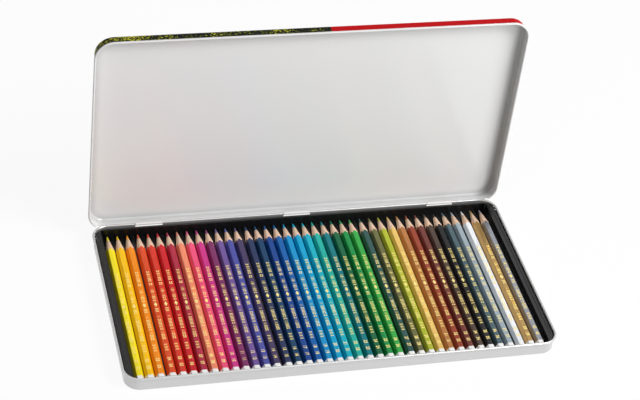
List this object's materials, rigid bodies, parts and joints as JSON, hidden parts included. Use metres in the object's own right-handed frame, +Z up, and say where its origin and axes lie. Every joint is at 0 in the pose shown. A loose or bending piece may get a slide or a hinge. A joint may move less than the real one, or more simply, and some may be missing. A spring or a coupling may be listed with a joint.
{
  "type": "hinged tin of colour pencils",
  "caption": "Flat white sheet-metal tin with a hinged slip-over lid, a black moulded insert and a full row of sharpened hexagonal colour pencils.",
  "frame": {"origin": "centre of the base's underside, on the surface the tin lies on", "axes": "+X to the right along the row of pencils, +Y to the hinge side where the points are, +Z up"},
  "size_m": [0.354, 0.194, 0.1986],
  "materials": {
    "white_tinplate": "white gloss lacquer on tinplate",
    "lid_tinplate": "white gloss lacquer inside, coloured lacquer outside",
    "black_sheet": "satin black thermoformed sheet",
    "lemon_lacquer": "gloss lacquer on hexagonal wood casing, same colour in the lead",
    "golden_yellow_lacquer": "gloss lacquer on hexagonal wood casing, same colour in the lead",
    "orange_lacquer": "gloss lacquer on hexagonal wood casing, same colour in the lead",
    "vermilion_lacquer": "gloss lacquer on hexagonal wood casing, same colour in the lead",
    "red_lacquer": "gloss lacquer on hexagonal wood casing, same colour in the lead",
    "scarlet_lacquer": "gloss lacquer on hexagonal wood casing, same colour in the lead",
    "carmine_lacquer": "gloss lacquer on hexagonal wood casing, same colour in the lead",
    "salmon_lacquer": "gloss lacquer on hexagonal wood casing, same colour in the lead",
    "pink_lacquer": "gloss lacquer on hexagonal wood casing, same colour in the lead",
    "magenta_lacquer": "gloss lacquer on hexagonal wood casing, same colour in the lead",
    "purple_lacquer": "gloss lacquer on hexagonal wood casing, same colour in the lead",
    "lilac_lacquer": "gloss lacquer on hexagonal wood casing, same colour in the lead",
    "periwinkle_lacquer": "gloss lacquer on hexagonal wood casing, same colour in the lead",
    "aubergine_lacquer": "gloss lacquer on hexagonal wood casing, same colour in the lead",
    "navy_lacquer": "gloss lacquer on hexagonal wood casing, same colour in the lead",
    "night_blue_lacquer": "gloss lacquer on hexagonal wood casing, same colour in the lead",
    "ultramarine_lacquer": "gloss lacquer on hexagonal wood casing, same colour in the lead",
    "cobalt_lacquer": "gloss lacquer on hexagonal wood casing, same colour in the lead",
    "sky_blue_lacquer": "gloss lacquer on hexagonal wood casing, same colour in the lead",
    "cyan_lacquer": "gloss lacquer on hexagonal wood casing, same colour in the lead",
    "turquoise_lacquer": "gloss lacquer on hexagonal wood casing, same colour in the lead",
    "sea_green_lacquer": "gloss lacquer on hexagonal wood casing, same colour in the lead",
    "teal_lacquer": "gloss lacquer on hexagonal wood casing, same colour in the lead",
    "forest_green_lacquer": "gloss lacquer on hexagonal wood casing, same colour in the lead",
    "green_lacquer": "gloss lacquer on hexagonal wood casing, same colour in the lead",
    "light_green_lacquer": "gloss lacquer on hexagonal wood casing, same colour in the lead",
    "spruce_lacquer": "gloss lacquer on hexagonal wood casing, same colour in the lead",
    "olive_lacquer": "gloss lacquer on hexagonal wood casing, same colour in the lead",
    "lime_olive_lacquer": "gloss lacquer on hexagonal wood casing, same colour in the lead",
    "ochre_lacquer": "gloss lacquer on hexagonal wood casing, same colour in the lead",
    "brown_ochre_lacquer": "gloss lacquer on hexagonal wood casing, same colour in the lead",
    "russet_lacquer": "gloss lacquer on hexagonal wood casing, same colour in the lead",
    "brown_lacquer": "gloss lacquer on hexagonal wood casing, same colour in the lead",
    "dark_brown_lacquer": "gloss lacquer on hexagonal wood casing, same colour in the lead",
    "black_lacquer": "gloss lacquer on hexagonal wood casing, same colour in the lead",
    "slate_lacquer": "gloss lacquer on hexagonal wood casing, same colour in the lead",
    "blue_grey_lacquer": "gloss lacquer on hexagonal wood casing, same colour in the lead",
    "white_lacquer": "gloss lacquer on hexagonal wood casing, same colour in the lead",
    "gold_lacquer": "gloss lacquer on hexagonal wood casing, same colour in the lead",
    "silver_lacquer": "gloss lacquer on hexagonal wood casing, same colour in the lead"
  },
  "bodies": {
    "base": {"base_tin": "white_tinplate", "insert_tray": "black_sheet"},
    "lid": {"lid_tin": "lid_tinplate"},
    "pencil_01_lemon_body": {"pencil_01_lemon": "lemon_lacquer"},
    "pencil_02_golden_yellow_body": {"pencil_02_golden_yellow": "golden_yellow_lacquer"},
    "pencil_03_orange_body": {"pencil_03_orange": "orange_lacquer"},
    "pencil_04_vermilion_body": {"pencil_04_vermilion": "vermilion_lacquer"},
    "pencil_05_red_body": {"pencil_05_red": "red_lacquer"},
    "pencil_06_scarlet_body": {"pencil_06_scarlet": "scarlet_lacquer"},
    "pencil_07_carmine_body": {"pencil_07_carmine": "carmine_lacquer"},
    "pencil_08_salmon_body": {"pencil_08_salmon": "salmon_lacquer"},
    "pencil_09_pink_body": {"pencil_09_pink": "pink_lacquer"},
    "pencil_10_magenta_body": {"pencil_10_magenta": "magenta_lacquer"},
    "pencil_11_purple_body": {"pencil_11_purple": "purple_lacquer"},
    "pencil_12_lilac_body": {"pencil_12_lilac": "lilac_lacquer"},
    "pencil_13_periwinkle_body": {"pencil_13_periwinkle": "periwinkle_lacquer"},
    "pencil_14_aubergine_body": {"pencil_14_aubergine": "aubergine_lacquer"},
    "pencil_15_navy_body": {"pencil_15_navy": "navy_lacquer"},
    "pencil_16_night_blue_body": {"pencil_16_night_blue": "night_blue_lacquer"},
    "pencil_17_ultramarine_body": {"pencil_17_ultramarine": "ultramarine_lacquer"},
    "pencil_18_cobalt_body": {"pencil_18_cobalt": "cobalt_lacquer"},
    "pencil_19_sky_blue_body": {"pencil_19_sky_blue": "sky_blue_lacquer"},
    "pencil_20_cyan_body": {"pencil_20_cyan": "cyan_lacquer"},
    "pencil_21_turquoise_body": {"pencil_21_turquoise": "turquoise_lacquer"},
    "pencil_22_sea_green_body": {"pencil_22_sea_green": "sea_green_lacquer"},
    "pencil_23_teal_body": {"pencil_23_teal": "teal_lacquer"},
    "pencil_24_forest_green_body": {"pencil_24_forest_green": "forest_green_lacquer"},
    "pencil_25_green_body": {"pencil_25_green": "green_lacquer"},
    "pencil_26_light_green_body": {"pencil_26_light_green": "light_green_lacquer"},
    "pencil_27_spruce_body": {"pencil_27_spruce": "spruce_lacquer"},
    "pencil_28_olive_body": {"pencil_28_olive": "olive_lacquer"},
    "pencil_29_lime_olive_body": {"pencil_29_lime_olive": "lime_olive_lacquer"},
    "pencil_30_ochre_body": {"pencil_30_ochre": "ochre_lacquer"},
    "pencil_31_brown_ochre_body": {"pencil_31_brown_ochre": "brown_ochre_lacquer"},
    "pencil_32_russet_body": {"pencil_32_russet": "russet_lacquer"},
    "pencil_33_brown_body": {"pencil_33_brown": "brown_lacquer"},
    "pencil_34_dark_brown_body": {"pencil_34_dark_brown": "dark_brown_lacquer"},
    "pencil_35_black_body": {"pencil_35_black": "black_lacquer"},
    "pencil_36_slate_body": {"pencil_36_slate": "slate_lacquer"},
    "pencil_37_blue_grey_body": {"pencil_37_blue_grey": "blue_grey_lacquer"},
    "pencil_38_white_body": {"pencil_38_white": "white_lacquer"},
    "pencil_39_gold_body": {"pencil_39_gold": "gold_lacquer"},
    "pencil_40_silver_body": {"pencil_40_silver": "silver_lacquer"}
  },
  "joints": [
    {"name": "lid_hinge", "type": "hinge", "parent": "base", "child": "lid", "pos_m": [0, 0.09175, 0.0121], "axis": [-1, 0, 0], "range_deg": [-88.5, 0]},
    {"name": "pencil_01_lemon_lift", "type": "slide", "parent": "base", "child": "pencil_01_lemon_body", "axis": [0, 0, 1], "range_m": [0, 0.03]},
    {"name": "pencil_02_golden_yellow_lift", "type": "slide", "parent": "base", "child": "pencil_02_golden_yellow_body", "axis": [0, 0, 1], "range_m": [0, 0.03]},
    {"name": "pencil_03_orange_lift", "type": "slide", "parent": "base", "child": "pencil_03_orange_body", "axis": [0, 0, 1], "range_m": [0, 0.03]},
    {"name": "pencil_04_vermilion_lift", "type": "slide", "parent": "base", "child": "pencil_04_vermilion_body", "axis": [0, 0, 1], "range_m": [0, 0.03]},
    {"name": "pencil_05_red_lift", "type": "slide", "parent": "base", "child": "pencil_05_red_body", "axis": [0, 0, 1], "range_m": [0, 0.03]},
    {"name": "pencil_06_scarlet_lift", "type": "slide", "parent": "base", "child": "pencil_06_scarlet_body", "axis": [0, 0, 1], "range_m": [0, 0.03]},
    {"name": "pencil_07_carmine_lift", "type": "slide", "parent": "base", "child": "pencil_07_carmine_body", "axis": [0, 0, 1], "range_m": [0, 0.03]},
    {"name": "pencil_08_salmon_lift", "type": "slide", "parent": "base", "child": "pencil_08_salmon_body", "axis": [0, 0, 1], "range_m": [0, 0.03]},
    {"name": "pencil_09_pink_lift", "type": "slide", "parent": "base", "child": "pencil_09_pink_body", "axis": [0, 0, 1], "range_m": [0, 0.03]},
    {"name": "pencil_10_magenta_lift", "type": "slide", "parent": "base", "child": "pencil_10_magenta_body", "axis": [0, 0, 1], "range_m": [0, 0.03]},
    {"name": "pencil_11_purple_lift", "type": "slide", "parent": "base", "child": "pencil_11_purple_body", "axis": [0, 0, 1], "range_m": [0, 0.03]},
    {"name": "pencil_12_lilac_lift", "type": "slide", "parent": "base", "child": "pencil_12_lilac_body", "axis": [0, 0, 1], "range_m": [0, 0.03]},
    {"name": "pencil_13_periwinkle_lift", "type": "slide", "parent": "base", "child": "pencil_13_periwinkle_body", "axis": [0, 0, 1], "range_m": [0, 0.03]},
    {"name": "pencil_14_aubergine_lift", "type": "slide", "parent": "base", "child": "pencil_14_aubergine_body", "axis": [0, 0, 1], "range_m": [0, 0.03]},
    {"name": "pencil_15_navy_lift", "type": "slide", "parent": "base", "child": "pencil_15_navy_body", "axis": [0, 0, 1], "range_m": [0, 0.03]},
    {"name": "pencil_16_night_blue_lift", "type": "slide", "parent": "base", "child": "pencil_16_night_blue_body", "axis": [0, 0, 1], "range_m": [0, 0.03]},
    {"name": "pencil_17_ultramarine_lift", "type": "slide", "parent": "base", "child": "pencil_17_ultramarine_body", "axis": [0, 0, 1], "range_m": [0, 0.03]},
    {"name": "pencil_18_cobalt_lift", "type": "slide", "parent": "base", "child": "pencil_18_cobalt_body", "axis": [0, 0, 1], "range_m": [0, 0.03]},
    {"name": "pencil_19_sky_blue_lift", "type": "slide", "parent": "base", "child": "pencil_19_sky_blue_body", "axis": [0, 0, 1], "range_m": [0, 0.03]},
    {"name": "pencil_20_cyan_lift", "type": "slide", "parent": "base", "child": "pencil_20_cyan_body", "axis": [0, 0, 1], "range_m": [0, 0.03]},
    {"name": "pencil_21_turquoise_lift", "type": "slide", "parent": "base", "child": "pencil_21_turquoise_body", "axis": [0, 0, 1], "range_m": [0, 0.03]},
    {"name": "pencil_22_sea_green_lift", "type": "slide", "parent": "base", "child": "pencil_22_sea_green_body", "axis": [0, 0, 1], "range_m": [0, 0.03]},
    {"name": "pencil_23_teal_lift", "type": "slide", "parent": "base", "child": "pencil_23_teal_body", "axis": [0, 0, 1], "range_m": [0, 0.03]},
    {"name": "pencil_24_forest_green_lift", "type": "slide", "parent": "base", "child": "pencil_24_forest_green_body", "axis": [0, 0, 1], "range_m": [0, 0.03]},
    {"name": "pencil_25_green_lift", "type": "slide", "parent": "base", "child": "pencil_25_green_body", "axis": [0, 0, 1], "range_m": [0, 0.03]},
    {"name": "pencil_26_light_green_lift", "type": "slide", "parent": "base", "child": "pencil_26_light_green_body", "axis": [0, 0, 1], "range_m": [0, 0.03]},
    {"name": "pencil_27_spruce_lift", "type": "slide", "parent": "base", "child": "pencil_27_spruce_body", "axis": [0, 0, 1], "range_m": [0, 0.03]},
    {"name": "pencil_28_olive_lift", "type": "slide", "parent": "base", "child": "pencil_28_olive_body", "axis": [0, 0, 1], "range_m": [0, 0.03]},
    {"name": "pencil_29_lime_olive_lift", "type": "slide", "parent": "base", "child": "pencil_29_lime_olive_body", "axis": [0, 0, 1], "range_m": [0, 0.03]},
    {"name": "pencil_30_ochre_lift", "type": "slide", "parent": "base", "child": "pencil_30_ochre_body", "axis": [0, 0, 1], "range_m": [0, 0.03]},
    {"name": "pencil_31_brown_ochre_lift", "type": "slide", "parent": "base", "child": "pencil_31_brown_ochre_body", "axis": [0, 0, 1], "range_m": [0, 0.03]},
    {"name": "pencil_32_russet_lift", "type": "slide", "parent": "base", "child": "pencil_32_russet_body", "axis": [0, 0, 1], "range_m": [0, 0.03]},
    {"name": "pencil_33_brown_lift", "type": "slide", "parent": "base", "child": "pencil_33_brown_body", "axis": [0, 0, 1], "range_m": [0, 0.03]},
    {"name": "pencil_34_dark_brown_lift", "type": "slide", "parent": "base", "child": "pencil_34_dark_brown_body", "axis": [0, 0, 1], "range_m": [0, 0.03]},
    {"name": "pencil_35_black_lift", "type": "slide", "parent": "base", "child": "pencil_35_black_body", "axis": [0, 0, 1], "range_m": [0, 0.03]},
    {"name": "pencil_36_slate_lift", "type": "slide", "parent": "base", "child": "pencil_36_slate_body", "axis": [0, 0, 1], "range_m": [0, 0.03]},
    {"name": "pencil_37_blue_grey_lift", "type": "slide", "parent": "base", "child": "pencil_37_blue_grey_body", "axis": [0, 0, 1], "range_m": [0, 0.03]},
    {"name": "pencil_38_white_lift", "type": "slide", "parent": "base", "child": "pencil_38_white_body", "axis": [0, 0, 1], "range_m": [0, 0.03]},
    {"name": "pencil_39_gold_lift", "type": "slide", "parent": "base", "child": "pencil_39_gold_body", "axis": [0, 0, 1], "range_m": [0, 0.03]},
    {"name": "pencil_40_silver_lift", "type": "slide", "parent": "base", "child": "pencil_40_silver_body", "axis": [0, 0, 1], "range_m": [0, 0.03]}
  ]
}
